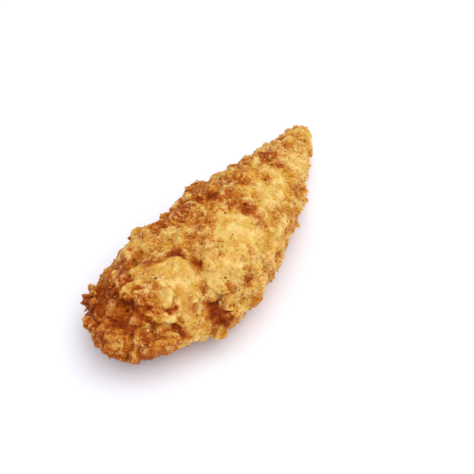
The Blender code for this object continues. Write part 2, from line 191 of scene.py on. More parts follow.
# Lumps of their own shape, fixed to the nearest crust: x, y, z, half-length, half-width,
# half-height, turn in degrees, and how far they stand out, in half-heights
HERO_LUMPS = (
    (-49.4, 7.6, 16.0, 4.6, 3.6, 2.2, 60.0, 0.1),  # a smooth dome behind the flap
    # the lower edge of the flap
    (-43.6, -3.4, 18.5, 4.6, 2.6, 2.2, -62.0, 0.2),
    (-41.6, -7.4, 19.0, 2.6, 2.2, 1.8, -40.0, 0.2),
    # round the wedge beside the lobe, a long and pale one first
    (-28.1, -12.8, 18.6, 4.0, 1.8, 1.6, 95.0, 0.5),
    (-30.6, -13.8, 17.8, 1.6, 1.4, 1.2, 0.0, 0.4),
    (-29.9, -17.2, 15.7, 2.4, 1.5, 1.4, 100.0, 0.2),
    (-31.0, -18.6, 13.6, 2.0, 0.8, 0.8, 110.0, 0.1),
    (-27.6, -20.4, 13.4, 3.0, 1.8, 2.0, 20.0, -0.2),
    # under the flap
    (-44.2, -7.2, 17.4, 2.6, 1.8, 1.8, 120.0, 0.3),
    (-42.3, -8.8, 18.6, 1.4, 1.1, 1.2, 90.0, 0.6),
    (-46.2, -5.2, 14.8, 2.4, 1.6, 1.3, 140.0, 0.4),
    # the thick end and its two knobs
    (-55.8, 3.2, 13.0, 2.6, 2.8, 2.2, 20.0, 0.1),
    (-55.9, 7.0, 14.4, 2.2, 2.4, 1.6, 20.0, 0.1),
    (-55.6, 14.2, 13.9, 1.4, 1.5, 1.4, 0.0, 0.7),
    (-57.1, 12.4, 13.3, 1.3, 1.2, 1.3, 40.0, 0.7),
    (-47.1, 19.1, 14.0, 1.2, 1.1, 1.2, 0.0, 0.9),
    (-45.1, 20.0, 14.0, 1.1, 1.0, 1.1, 0.0, 0.9),
    (-50.2, 17.1, 14.4, 1.2, 1.2, 1.2, 0.0, 0.7),
    (-40.5, 14.9, 20.2, 1.1, 1.0, 0.9, 0.0, 0.4),
    (-53.5, -2.0, 10.2, 2.4, 1.2, 2.6, 60.0, 0.2),
    (-48.2, -9.1, 11.2, 3.4, 2.2, 1.6, -40.0, 0.1),
    # the floor of the hollow under and behind the flap
    (-49.4, 0.6, 15.0, 4.8, 4.2, 3.6, 20.0, 0.35),
    (-46.6, 7.2, 16.6, 2.6, 2.2, 1.8, 0.0, 0.25),
    (-47.0, 4.8, 17.2, 2.2, 2.0, 1.6, 0.0, 0.3),
    (-47.4, -0.2, 18.4, 2.0, 1.8, 1.6, 0.0, 0.4),
    # the crest
    (-0.3, 7.4, 25.5, 2.2, 2.0, 1.8, 0.0, 0.4),
    (8.6, 7.1, 23.3, 2.8, 2.4, 1.7, 0.0, 0.15),
    # broad bumps on the thin end
    (9.6, 5.8, 25.0, 3.2, 2.6, 1.6, 20.0, -0.2),
    (17.8, -1.0, 23.4, 3.2, 2.6, 1.6, 30.0, -0.3),
    (17.4, 4.0, 24.7, 3.0, 2.2, 1.6, 0.0, -0.3),
    (26.6, 6.8, 20.0, 3.0, 2.4, 1.6, 40.0, -0.3),
    (34.6, 5.0, 17.0, 2.8, 2.2, 1.5, 20.0, -0.3),
    (45.1, 6.5, 11.8, 2.6, 2.2, 1.4, 10.0, -0.3),
    (52.8, 8.0, 8.7, 2.4, 2.0, 1.4, 0.0, -0.3),
    (-5.0, 13.6, 24.0, 2.0, 1.6, 1.3, 30.0, 0.3),  # the far side of the crest
    # smooth rolls round the thick end
    (-49.8, -7.6, 11.5, 5.0, 2.4, 2.2, -48.0, -0.3),
    (-56.8, 3.4, 11.5, 3.6, 2.4, 3.0, 80.0, -0.4),
    (-56.3, 9.9, 11.5, 2.6, 2.2, 2.4, 90.0, -0.4),
    # low on the near side
    (-27.9, -17.9, 17.8, 2.4, 1.8, 1.4, 20.0, -0.1),
    (-25.0, -18.8, 18.6, 2.4, 1.8, 1.4, 10.0, -0.2),
    (-32.8, -17.4, 7.4, 3.4, 2.6, 2.8, 30.0, 0.3),  # the low corner of the lobe
    (-20.1, -20.2, 16.6, 2.0, 1.6, 1.4, 0.0, 0.3),
    (-15.6, -20.9, 16.0, 2.0, 1.5, 1.3, 0.0, 0.3),
)
HERO_FORM = (4, 1.0, 0.0, 0.4)  # level of detail, flattening, bend and unevenness

# Darker (positive) and paler (negative) spots, partly browned and pale crust and partly painted shade
# and light: x, y, z, radius, strength
BROWN_AND_SHADE_SPOTS = (
    # the thick end, browned and with painted shade on the side away from the light
    (-50.6, 17.6, 13.0, 6.0, 0.35),
    (-50.0, 13.0, 14.5, 4.0, 0.1),
    (-46.3, 14.4, 15.0, 8.0, 0.35),
    (-49.4, 8.6, 16.0, 6.5, 0.2),
    (-49.1, 8.1, 17.0, 5.0, 0.1),
    (-56.6, 9.6, 10.0, 7.0, 0.15),
    (-52.6, 1.6, 12.0, 13.0, 0.36),
    (-51.1, 1.6, 15.0, 3.5, 0.2),
    (-46.1, 0.6, 17.5, 4.0, 0.3),
    (-49.9, -0.1, 17.0, 3.0, 0.25),
    (-47.8, -3.6, 16.0, 2.4, 0.2),
    (-50.6, -9.4, 11.5, 6.0, 0.15),
    # the flap, with painted shade on its left plane and in the crease under it, painted light on its
    # right plane and in the pits below
    (-46.4, 1.4, 23.2, 2.4, 0.25),
    (-45.2, -1.2, 22.0, 5.0, 0.2),
    (-42.0, -5.0, 23.3, 2.6, -0.4),
    (-42.4, -7.9, 20.2, 1.3, 0.5),
    (-43.8, -6.9, 19.8, 1.3, 0.5),
    (-44.6, -5.2, 19.0, 1.3, 0.4),
    (-43.8, -7.6, 18.0, 2.4, -0.4),
    (-45.5, -5.8, 16.4, 2.4, -0.3),
    # the lobe, and painted shade in the creases round it
    (-33.6, -6.8, 23.2, 4.6, -0.25),
    (-38.1, 5.6, 22.5, 4.0, -0.15),
    (-37.6, 13.6, 21.5, 3.5, 0.5),
    (-35.0, 16.8, 19.3, 3.0, 0.35),
    (-34.1, 8.1, 25.0, 3.0, 0.55),
    (-26.6, 1.9, 24.5, 2.6, 0.6),
    (-24.6, -7.4, 21.5, 2.6, 0.3),
    (-28.1, -8.9, 18.5, 2.2, 0.5),
    (-30.4, -10.6, 20.0, 1.8, 0.5),
    (-27.8, -11.2, 20.0, 2.2, -0.4),
    (-28.2, -13.6, 19.5, 3.0, -0.35),
    (-30.8, -13.8, 18.2, 1.4, -0.45),
    (-43.4, -12.0, 12.6, 1.6, 0.15),
    # the wedge beside it, with painted shade in its crevice, and the near side
    (-30.0, -13.8, 16.0, 3.2, 0.4),
    (-33.4, -16.6, 15.0, 2.6, 0.5),
    (-31.4, -18.6, 13.2, 2.8, 0.55),
    (-29.6, -20.2, 12.2, 2.4, 0.55),
    (-31.0, -18.6, 10.8, 2.6, 0.5),
    (-25.0, -21.0, 15.0, 3.5, -0.3),
    (-26.0, -17.3, 21.9, 2.0, 0.55),
    (-20.6, -19.0, 18.0, 2.0, 0.4),
    (-18.1, -17.7, 20.7, 1.2, 0.6),
    (-8.6, -21.4, 12.0, 8.0, 0.1),
    # the crest and its swirl, with painted shade on the far side
    (-35.3, 19.4, 16.0, 8.0, 0.25),
    (-29.6, 17.8, 20.8, 4.5, -0.3),
    (-23.6, 8.2, 25.2, 3.6, -0.35),
    (-17.3, 16.4, 21.0, 9.0, 0.32),
    (-12.6, 9.4, 25.7, 5.0, 0.35),
    (-5.2, 8.4, 25.0, 1.2, 0.6),
    (-2.5, 5.5, 25.4, 1.8, 0.5),
    (0.7, 6.5, 24.5, 1.8, 0.45),
    (0.7, 14.4, 22.0, 8.0, 0.28),
    # the hollow beside the crest, darkened as painted shade
    (-15.8, 0.1, 24.6, 4.2, 0.35),
    (-5.9, 4.2, 27.7, 1.2, 0.7),
    (-6.0, -0.4, 28.0, 1.6, 0.4),
    (-1.0, -0.2, 28.0, 3.6, 0.35),
    # the long pale face
    (-21.7, -14.9, 22.0, 4.0, -0.45),
    (-10.6, -12.4, 25.0, 6.5, -0.35),
    (-13.4, -5.1, 25.9, 3.4, -0.45),
    (-8.1, -3.5, 27.3, 3.0, -0.35),
    (3.9, -8.4, 24.8, 2.6, -0.3),
    (-20.1, -10.1, 24.8, 1.0, 0.6),
    (-14.2, -10.4, 25.6, 1.8, 0.35),
    (-1.9, -13.0, 23.8, 2.4, 0.5),
    (-0.1, -7.0, 24.9, 2.8, 0.6),
    # the thin end
    (9.4, -5.4, 24.0, 4.0, -0.3),
    (7.4, 1.4, 25.7, 1.8, 0.4),
    (9.1, 2.6, 24.4, 3.4, 0.3),
    (14.4, 6.9, 23.9, 4.0, 0.25),
    (15.3, -2.8, 23.1, 2.0, 0.5),
    (17.8, -4.4, 22.0, 5.0, -0.3),
    (21.8, -10.6, 17.6, 2.4, 0.5),
    (25.7, -1.8, 19.9, 2.0, 0.45),
    (27.1, 4.6, 21.3, 2.8, 0.55),
    (35.7, -3.6, 14.0, 6.0, -0.35),
    (40.4, 4.0, 14.2, 3.0, 0.3),
    (49.5, 6.6, 11.6, 2.6, 0.4),
    (52.4, 4.6, 9.0, 5.0, -0.25),
)
SPOT_BAYS = (2.5, 0.5)  # the size and depth of the bays in their borders, coarse and fine
SPOT_GRAIN = (1.0, 0.3)
SPOT_LIMIT = 0.6
LOW_CRUST = 12.0  # below this height the crust is painted darker as shade, by up to
LOW_PAINTED_SHADE = 0.25
UNDER_PAINTED_SHADE = 0.15  # and where it faces down, painted shade too

# The fine skin: its voxels before and after the lumps are added, the rounds that soften the
# solid's facets, and those that tell wide forms and small bumps from what is round them
CORE_VOXEL = 0.5
SKIN_VOXEL = 0.3
CORE_ROUNDS = 3
WIDE_ROUNDS = 60
NEAR_ROUNDS = 6
WIDE_HEIGHT = 1.2  # what counts as a full bump of each kind
NEAR_HEIGHT = 0.25
SKIN_TRIANGLES = 196000
REACH = 0.8  # how far the crust may stand out of the solid's box

# Pepper: the largest grains by place, and the count and half-sizes of the fine ones
PEPPER_SPOTS = (
    (-39.2, 0.4, 0.39), (0.3, -5.0, 0.47), (-7.0, -2.4, 0.39), (-12.9, -0.7, 0.3),
    (-24.3, -14.3, 0.33), (-34.6, -12.1, 0.23), (-18.1, -17.6, 0.28), (-13.5, -20.4, 0.25),
    (-12.5, -8.9, 0.23), (7.0, -16.5, 0.25), (15.5, -2.7, 0.3), (23.7, 0.2, 0.28),
    (39.4, 1.6, 0.25), (-17.7, -8.8, 0.2), (-15.6, -12.7, 0.2), (-14.6, -13.8, 0.2),
    (-24.8, -15.4, 0.2), (-25.4, -13.3, 0.2), (-5.3, -18.5, 0.2),
)
PEPPER_COUNT = 160
PEPPER_SIZE = (0.1, 0.24)
PEPPER_FORM = (2, 0.6, 0.0, 0.9)  # level of detail, flattening, bend and unevenness
PEPPER_LIFT = 0.15  # how far the grains stand out, in half-sizes
ABOVE = 60.0  # from where the large ones drop onto the crust


def mesh_arrays(mesh):
    """Vertex positions and normals of a mesh, in millimetres."""
    points = np.empty(len(mesh.vertices) * 3)
    normals = np.empty(len(mesh.vertices) * 3)
    mesh.vertices.foreach_get("co", points)
    mesh.vertices.foreach_get("normal", normals)
    return points.reshape(-1, 3) / MM, normals.reshape(-1, 3)


def set_points(mesh, points):
    mesh.vertices.foreach_set("co", (points * MM).astype(np.float32).ravel())
    mesh.update()


def new_object(name, mesh):
    obj = bpy.data.objects.new(name, mesh)
    bpy.context.scene.collection.objects.link(obj)
    return obj


def apply_modifiers(obj):
    graph = bpy.context.evaluated_depsgraph_get()
    old = obj.data
    obj.data = bpy.data.meshes.new_from_object(obj.evaluated_get(graph))
    obj.modifiers.clear()
    bpy.data.meshes.remove(old)


def lay_skin(obj, voxel):
    """Replaces the object's mesh with one closed skin over it."""
    skin = obj.modifiers.new("skin", "REMESH")
    skin.mode = "VOXEL"
    skin.voxel_size = voxel * MM
    apply_modifiers(obj)


def smoothed(mesh, values, rounds):
    """Values on the vertices, averaged with their neighbours a number of times."""
    edges = np.empty(len(mesh.edges) * 2, np.int64)
    mesh.edges.foreach_get("vertices", edges)
    a, b = edges.reshape(-1, 2).T
    count = len(mesh.vertices)
    links = np.bincount(a, minlength=count) + np.bincount(b, minlength=count)
    out = values.copy()
    for _ in range(rounds):
        for column in out.T:
            total = np.bincount(a, column[b], count) + np.bincount(b, column[a], count)
            column += 0.5 * (total / links - column)
    return out


# Random directions and places for the cells of the noise below
TABLE = 1024
rng = np.random.default_rng(SEED)
DIRECTIONS = rng.normal(size=(TABLE, 3))
DIRECTIONS /= np.linalg.norm(DIRECTIONS, axis=1)[:, None]
PLACES = rng.random((TABLE, 3))


def table_row(cell, seed):
    """A row of the random tables for each lattice cell."""
    x, y, z = (cell.astype(np.int64) & 0xFFFF).T
    h = (x * 73856093) ^ (y * 19349663) ^ (z * 83492791) ^ (seed * 2654435761)
    h = ((h ^ (h >> 13)) * 1274126177) & 0xFFFFFFFF
    return (h ^ (h >> 15)) % TABLE


def waves(points, size, seed):
    """Smooth noise between about -1 and 1, with features of a size."""
    p = points / size + seed * 3.7
    base = np.floor(p)
    f = p - base
    ease = f * f * f * (f * (6 * f - 15) + 10)
    total = np.zeros(len(p))
    for corner in itertools.product((0, 1), repeat=3):
        weight = np.prod(np.where(corner, ease, 1 - ease), axis=1)
        toward = DIRECTIONS[table_row(base + corner, seed)]
        total += weight * np.einsum("ij,ij->i", toward, f - corner)
    return 1.5 * total


def cells(points, size, seed):
    """Round bubbles side by side: 1 on their tops, about 0 where they meet."""
    p = points / size
    base = np.floor(p)
    nearest = np.full(len(p), 9.0)
    for step in itertools.product((-1, 0, 1), repeat=3):
        cell = base + step
        away = p - cell - PLACES[table_row(cell, seed)]
        nearest = np.minimum(nearest, np.einsum("ij,ij->i", away, away))
    return 1 - nearest


def path_distance(points, path):
    """The distance of each point from a path of straight pieces."""
    nearest = np.full(len(points), np.inf)
    for a, b in zip(path, path[1:]):
        a, b = np.array(a), np.array(b)
        step = b - a
        t = np.clip((points - a) @ step / (step @ step), 0, 1)
        nearest = np.minimum(nearest, np.linalg.norm(points - a - t[:, None] * step, axis=1))
    return nearest


def near_lines(points, lines):
    """How close each point is to the nearest of some lines, 1 on it, and their joint height."""
    closeness = np.zeros(len(points))
    height = np.zeros(len(points))
    for half_width, rise, path in lines:
        share = np.exp(-((path_distance(points, path) / half_width) ** 2))
        closeness = np.maximum(closeness, share)
        height = np.maximum(height, rise * share)
    return closeness, height


def reach(points, zone):
    """How far out of an oval's middle each point is in plan: 1 on its rim."""
    x, y, half_length, half_width, turn = zone[:5]
    c, s = math.cos(math.radians(turn)), math.sin(math.radians(turn))
    dx, dy = points[:, 0] - x, points[:, 1] - y
    return np.hypot((c * dx + s * dy) / half_length, (c * dy - s * dx) / half_width)


def crag(points, normals):
    """How craggy the crust is at each point: 0 on a smooth pillow, 1 among the crumbs."""
    wobble = waves(points, ZONE_WOBBLE[0], 11) * ZONE_WOBBLE[1]
    rough = np.full(len(points), TOP_CRAG)
    for zone in CRAG_ZONES:
        share = np.clip((1 - reach(points, zone) - wobble) / ZONE_EDGE + 0.5, 0, 1)
        rough += (zone[5] - rough) * share
    side = SIDE_CRAG + SIDE_CRAG_SPREAD * np.clip(points[:, 1] / SIDE_REACH, -1, 1)
    top = np.clip(normals[:, 2] * TOP_STEEPNESS, 0, 1)
    rough = side + (rough - side) * top
    for x, y, z, radius, amount in ROLLS:
        away = np.linalg.norm(points - (x, y, z), axis=1) / radius
        rough += (amount - rough) * np.clip(1.5 - 1.5 * away - wobble, 0, 1)
    return rough


def make_core():
    """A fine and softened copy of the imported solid."""
    core = new_object("core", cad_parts[NODE].data.copy())
    lay_skin(core, CORE_VOXEL)
    points, _ = mesh_arrays(core.data)
    points = smoothed(core.data, points, CORE_ROUNDS)
    soft = smoothed(core.data, points, SOFT_ROUNDS)
    share = np.zeros((len(points), 1))
    for x, y, z, radius in SOFT_PLACES:
        away = np.linalg.norm(points - (x, y, z), axis=1)[:, None]
        share = np.maximum(share, np.clip(1.5 - 1.5 * away / radius, 0, 1))
    set_points(core.data, points + share * (soft - points))
    return core


def warped(points, warp, seeds):
    """How far each point is moved before its bubbles are worked out."""
    return np.column_stack([waves(points, warp[0], seed) for seed in seeds]) * warp[1]


def stand(relief, rough):
    """How high a kind of relief stands where the crust is that craggy."""
    return relief[1] + relief[2] * rough


def swell_core(core):
    """Bubbles of batter, a few millimetres across, with the creases and ridges."""
    points, normals = mesh_arrays(core.data)
    rough = crag(points, normals)
    warp = warped(points, CORE_WARP, (1, 2, 3))
    large = cells(points + warp, LARGE_BUBBLES[0], 1)
    small = cells(points + warp, SMALL_BUBBLES[0], 2)
    ruffles = (1 - np.abs(waves(points, RUFFLES[0], 3))) ** 4
    swells = waves(points, SWELLS[0], 4)
    rise = stand(LARGE_BUBBLES, rough) * large + stand(SMALL_BUBBLES, rough) * small
    rise += stand(RUFFLES, rough) * ruffles + stand(SWELLS, rough) * swells
    rise -= SUNK + SUNK_CRAGGY * rough
    rise += near_lines(points, RIDGES)[1] - near_lines(points, CREASES)[1]
    set_points(core.data, points + normals * rise[:, None])


def template(draw, faces_level, flatten, bend, unevenness):
    """The points and triangles of one uneven lump of half-size 1, flattened and bent."""
    bm = bmesh.new()
    bmesh.ops.create_icosphere(bm, subdivisions=faces_level, radius=1.0)
    offset = Vector([draw.uniform(-50, 50) for _ in range(3)])
    points = []
    for v in bm.verts:
        p = v.co * (1 + unevenness * noise.noise(v.co * 1.5 + offset))
        p.z = p.z * flatten + bend * (p.x * p.x - 0.3) + 0.3 * bend * p.x * p.y
        points.append(p[:])
    faces = [[v.index for v in f.verts] for f in bm.faces]
    bm.free()
    return np.array(points), np.array(faces)


def surface_spots(surface, tries, draw):
    """Random places on a surface, with its normals there and the nearest vertex of each."""
    mesh = surface.data
    mesh.calc_loop_triangles()
    points, normals = mesh_arrays(mesh)
    corners = np.empty(len(mesh.loop_triangles) * 3, np.int64)
    mesh.loop_triangles.foreach_get("vertices", corners)
    corners = corners.reshape(-1, 3)
    a, b, c = points[corners].transpose(1, 0, 2)
    area = np.linalg.norm(np.cross(b - a, c - a), axis=1)
    pick = np.random.default_rng(draw.randrange(1 << 30))
    which = pick.choice(len(area), size=tries, p=area / area.sum())
    u, v = pick.random((2, tries))
    flip = u + v > 1
    u, v = np.where(flip, 1 - u, u), np.where(flip, 1 - v, v)
    spots = a[which] + u[:, None] * (b - a)[which] + v[:, None] * (c - a)[which]
    vertex = corners[which, 0]
    return spots, normals[vertex], vertex


def thinned(spots, gap, count):
    """The numbers of up to count spots, no two closer than gap."""
    taken, grid = [], {}
    for i, spot in enumerate(spots):
        cell = tuple((spot // gap).astype(int))
        near = [
            j
            for step in itertools.product((-1, 0, 1), repeat=3)
            for j in grid.get((cell[0] + step[0], cell[1] + step[1], cell[2] + step[2]), ())
        ]
        if near and np.linalg.norm(spots[near] - spot, axis=1).min() < gap:
            continue
        grid.setdefault(cell, []).append(i)
        taken.append(i)
        if len(taken) == count:
            break
    return taken


def turned(normal, draw, tilt):
    """A rotation whose Z leans from the normal by up to tilt degrees, with a random spin."""
    lean_x = Matrix.Rotation(math.radians(draw.uniform(-tilt, tilt)), 3, "X")
    lean_y = Matrix.Rotation(math.radians(draw.uniform(-tilt, tilt)), 3, "Y")
    spin = Matrix.Rotation(draw.uniform(0, 2 * math.pi), 3, "Z")
    return Vector(normal).to_track_quat("Z", "Y").to_matrix() @ lean_x @ lean_y @ spin


def joined(name, parts):
    """One mesh object from pairs of points and triangles, in millimetres."""
    points = np.concatenate([p for p, _ in parts]) * MM
    starts = np.cumsum([0] + [len(p) for p, _ in parts[:-1]])
    faces = np.concatenate([f + s for (_, f), s in zip(parts, starts)])
    mesh = bpy.data.meshes.new(name)
    mesh.from_pydata(points.tolist(), [], faces.tolist())
    return new_object(name, mesh)


def strew(name, surface, draw, kind, share_of):
    """Many uneven lumps over a surface as one object, and the surface vertex under each point."""
    templates = [template(draw, *kind["form"]) for _ in range(TEMPLATES)]
    spots, normals, vertices = surface_spots(surface, kind["count"] * TRIES, draw)
    keep = np.random.default_rng(draw.randrange(1 << 30)).random(len(spots))
    keep = keep < share_of(spots, normals)
    spots, normals, vertices = spots[keep], normals[keep], vertices[keep]
    parts, under = [], []
    for i in thinned(spots, kind["gap"], kind["count"]):
        low, high = kind["size"]
        size = low + (high - low) * draw.random() ** kind["power"]
        sizes = np.array((size * draw.uniform(*kind["length"]), size, size))
        points, faces = templates[draw.randrange(len(templates))]
        turn = np.array(turned(normals[i], draw, kind["tilt"]))
        middle = spots[i] + normals[i] * size * kind["lift"]
        parts.append(((points * sizes) @ turn.T + middle, faces))
        under.append(vertices[i])
    print(name, len(parts))
    return joined(name, parts), np.repeat(under, len(templates[0][0]))


# Kinds of lumps and crumbs: their form (level of detail, flattening, bend and unevenness), how
# many at most and how far apart, their half-sizes and how much commoner the small ones are, how
# much longer than wide, how far they lean in degrees, and how far they stand out, in half-sizes
LUMPS = dict(
    form=(3, 0.75, 0.1, 0.9), count=700, gap=1.9, size=(0.5, 1.3), power=1.5,
    length=(0.9, 1.7), tilt=40, lift=-0.25,
)
CURLS = dict(
    form=(3, 0.28, 0.5, 0.7), count=300, gap=2.2, size=(0.6, 1.4), power=1.4,
    length=(1.1, 1.9), tilt=32, lift=0.0,
)
CRUMBS = dict(
    form=(2, 0.75, 0.1, 0.9), count=2400, gap=0.9, size=(0.2, 0.55), power=2.0,
    length=(0.9, 1.7), tilt=50, lift=-0.3,
)
FLAKES = dict(
    form=(2, 0.3, 0.4, 0.7), count=500, gap=1.5, size=(0.35, 0.8), power=1.6,
    length=(1.0, 1.7), tilt=25, lift=0.0,
)
TEMPLATES = 24  # different shapes of each kind
TRIES = 14  # random places for each lump, of which the suitable ones are kept
TINTS = (-0.2, 0.25)  # how much paler or browner a crumb is than the crust under it


def free_of_lines(points):
    """1 away from the creases and ridges, 0 on them."""
    return 1 - np.maximum(near_lines(points, RIDGES)[0], near_lines(points, CREASES)[0])


def surface_tree(surface):
    """A search tree of a surface's triangles, in millimetres."""
    points, _ = mesh_arrays(surface.data)
    surface.data.calc_loop_triangles()
    triangles = [t.vertices[:] for t in surface.data.loop_triangles]
    return BVHTree.FromPolygons([Vector(p) for p in points], triangles)


def hero_lumps(core, draw):
    """The lumps of their own shape, each on the crust nearest to its place."""
    tree = surface_tree(core)
    parts = []
    for *near, length, width, height, turn, lift in HERO_LUMPS:
        spot, normal, _, _ = tree.find_nearest(Vector(near))
        points, faces = template(draw, *HERO_FORM)
        c, s = math.cos(math.radians(turn)), math.sin(math.radians(turn))
        spun = points * (length, width, height) @ np.array(((c, s, 0), (-s, c, 0), (0, 0, 1)))
        parts.append((spun + np.array(spot + normal * height * lift), faces))
    return joined("hero", parts)


def curved(path, gap):
    """Points about gap apart on a smooth curve through the points of a path."""
    path = np.array((path[0], *path, path[-1]), float)
    points = []
    for a, b, c, d in zip(path, path[1:], path[2:], path[3:]):
        for t in np.arange(0, 1, gap / max(gap, np.linalg.norm(c - b))):
            points.append(
                b
                + 0.5 * t * (c - a)
                + 0.5 * t * t * (2 * a - 5 * b + 4 * c - d)
                + 0.5 * t**3 * (3 * b - 3 * c + d - a)
            )
    return points


def swirl_path():
    """Points along a flat spiral that winds inwards."""
    path = []
    for t in np.linspace(0.0, 1.0, 40):
        angle = 2 * math.pi * SWIRL_TURNS * t
        radius = SWIRL_RADII[0] + (SWIRL_RADII[1] - SWIRL_RADII[0]) * t
        x, y, z = SWIRL
        path.append((x + radius * math.cos(angle), y + radius * math.sin(angle), z))
    return path


def strands(core, draw):
    """Strings of small lumps along their paths, which the skin joins."""
    tree = surface_tree(core)
    parts = []
    for size, lift, path in (*STRANDS, (SWIRL_SIZE, SWIRL_LIFT, swirl_path())):
        middles = []
        for point in curved(path, size * BEAD_GAP):
            spot, normal, _, _ = tree.find_nearest(Vector(point))
            middles.append(spot + normal * lift)
        middles = np.array(middles)
        for _ in range(STRAND_ROUNDS):
            middles[1:-1] = (middles[:-2] + 2 * middles[1:-1] + middles[2:]) / 4
        for middle in middles:
            points, faces = template(draw, *BEAD_FORM)
            parts.append((points * size * draw.uniform(*BEAD_SIZES) + middle, faces))
    return joined("strands", parts)


def make_crust(core, draw):
    """The core with its lumps, curls and strands, in one skin."""
    lumps, _ = strew("lumps", core, draw, LUMPS, lambda p, n: crag(p, n) ** 2 * free_of_lines(p))
    curls, _ = strew("curls", core, draw, CURLS, lambda p, n: crag(p, n) ** 4 * free_of_lines(p))
    pieces = [core, lumps, curls, hero_lumps(core, draw), strands(core, draw)]
    bm = bmesh.new()
    for piece in pieces:
        bm.from_mesh(piece.data)
        bpy.data.objects.remove(piece)
    mesh = bpy.data.meshes.new("crust")
    bm.to_mesh(mesh)
    bm.free()
    crust = new_object("crust", mesh)
    lay_skin(crust, SKIN_VOXEL)
    return crust


def detail_crust(crust):
    """The small bubbles and wrinkles of the fused skin."""
    points, normals = mesh_arrays(crust.data)
    rough = crag(points, normals)
    warp = warped(points, SKIN_WARP, (5, 6, 7))
    bubbles = cells(points + warp, TINY_BUBBLES[0], 8)
    coarse, fine = WRINKLES[0], WRINKLES[0] / 2
    wrinkles = np.abs(waves(points, coarse, 9)) + 0.5 * np.abs(waves(points, fine, 10))
    rise = stand(TINY_BUBBLES, rough) * bubbles - stand(WRINKLES, rough) * wrinkles
    set_points(crust.data, points + normals * rise[:, None])
    thin = crust.modifiers.new("thin", "DECIMATE")
    thin.ratio = min(1.0, SKIN_TRIANGLES / (2 * len(crust.data.polygons)))
    apply_modifiers(crust)
    keep_near(crust)


def keep_near(obj):
    """Nothing reaches far out of the solid's box, or below what the tender lies on."""
    points, _ = mesh_arrays(obj.data)
    points = np.clip(points, np.array(cad_low) / MM - REACH, np.array(cad_high) / MM + REACH)
    points[:, 2] = np.maximum(points[:, 2], 0.0)
    set_points(obj.data, points)


def add_attributes(mesh, values):
    for name, column in values.items():
        attribute = mesh.attributes.new(name, "FLOAT", "POINT")
        attribute.data.foreach_set("value", column.astype(np.float32))


def browning_and_shade(points, normals):
    """How much browner or paler than its surroundings the crust is painted at each point, browning
    and painted shade together.
    """
    wobble = waves(points, SPOT_BAYS[0], 12) * SPOT_BAYS[1]
    wobble += waves(points, SPOT_GRAIN[0], 15) * SPOT_GRAIN[1]
    brown = np.zeros(len(points))
    for x, y, z, radius, strength in BROWN_AND_SHADE_SPOTS:
        away = np.linalg.norm(points - (x, y, z), axis=1) / radius
        share = np.clip(1.3 - 0.8 * away - wobble, 0, 1)
        brown += strength * share * share * (3 - 2 * share)
    # darker low down and where the crust faces down: painted shade
    low = np.clip(1 - points[:, 2] / LOW_CRUST, 0, 1) * LOW_PAINTED_SHADE
    under = UNDER_PAINTED_SHADE * np.clip(0.2 - normals[:, 2], 0, 1)
    return np.clip(brown, -SPOT_LIMIT, SPOT_LIMIT) + low + under


def crust_values(crust):
    """What the crust's material needs to know at each vertex."""
    points, normals = mesh_arrays(crust.data)
    # how far each point stands out of its wider and nearer surroundings, which the material turns
    # into painted shade in the hollows and painted highlight on the bumps
    around = points - smoothed(crust.data, points, WIDE_ROUNDS)
    beside = points - smoothed(crust.data, points, NEAR_ROUNDS)
    wide_rise_shading = np.einsum("ij,ij->i", around, normals)
    near = np.einsum("ij,ij->i", beside, normals)
    return {
        "crag": crag(points, normals),
        # browning with painted shade, from the spots, low down and where the crust faces down
        "browned_and_shaded": browning_and_shade(points, normals),
        # closeness to the creases, which the material darkens as painted shade
        "crease_shade": near_lines(points, CREASES)[0],
        "wide_rise_shading": np.clip(wide_rise_shading / WIDE_HEIGHT, -1, 1),
        "near": np.clip(near / NEAR_HEIGHT, -1, 1),
    }


def fine_crumbs(name, crust, values, draw, kind, crag_power):
    """Crumbs or flakes on the crust, with its values and each with a tint of its own."""

    def share(points, normals):
        patchy = np.clip(0.5 + waves(points, 4.0, 14), 0.1, 1)
        return patchy * (0.05 + crag(points, normals) ** crag_power) * free_of_lines(points)

    obj, under = strew(name, crust, draw, kind, share)
    keep_near(obj)
    mine = {key: column[under] for key, column in values.items()}
    size = kind_points(kind)
    tints = np.repeat([draw.uniform(*TINTS) for _ in range(len(under) // size)], size)
    mine["browned_and_shaded"] = mine["browned_and_shaded"] + tints
    # the crumbs count as raised crust, so they take the painted highlight of bumps
    mine["near"] = np.full(len(under), 0.5)
    mine["wide_rise_shading"] = np.clip(mine["wide_rise_shading"] + 0.15, -1, 1)
    add_attributes(obj.data, mine)
    return obj


def kind_points(kind):
    """The number of points of one lump of a kind, an icosphere of its level of detail."""
    return 10 * 4 ** (kind["form"][0] - 1) + 2


def make_pepper(crust, draw):
    """Ground pepper, half sunk in the crust."""
    tree = surface_tree(crust)
    grains = []
    for x, y, size in PEPPER_SPOTS:
        spot, normal, _, _ = tree.ray_cast(Vector((x, y, ABOVE)), Vector((0, 0, -1)))
        grains.append((np.array(spot), np.array(normal), size))
    spots, normals, _ = surface_spots(crust, PEPPER_COUNT, draw)
    for spot, normal in zip(spots, normals):
        if normal[2] > -0.2:
            grains.append((spot, normal, draw.uniform(*PEPPER_SIZE)))
    parts = []
    for spot, normal, size in grains:
        shape, faces = template(draw, *PEPPER_FORM)
        turn = np.array(turned(normal, draw, 25))
        shape = (shape * (size, size * draw.uniform(0.6, 1), size)) @ turn.T
        parts.append((shape + spot + normal * size * PEPPER_LIFT, faces))
    pepper = joined("pepper", parts)
    keep_near(pepper)
    return pepper


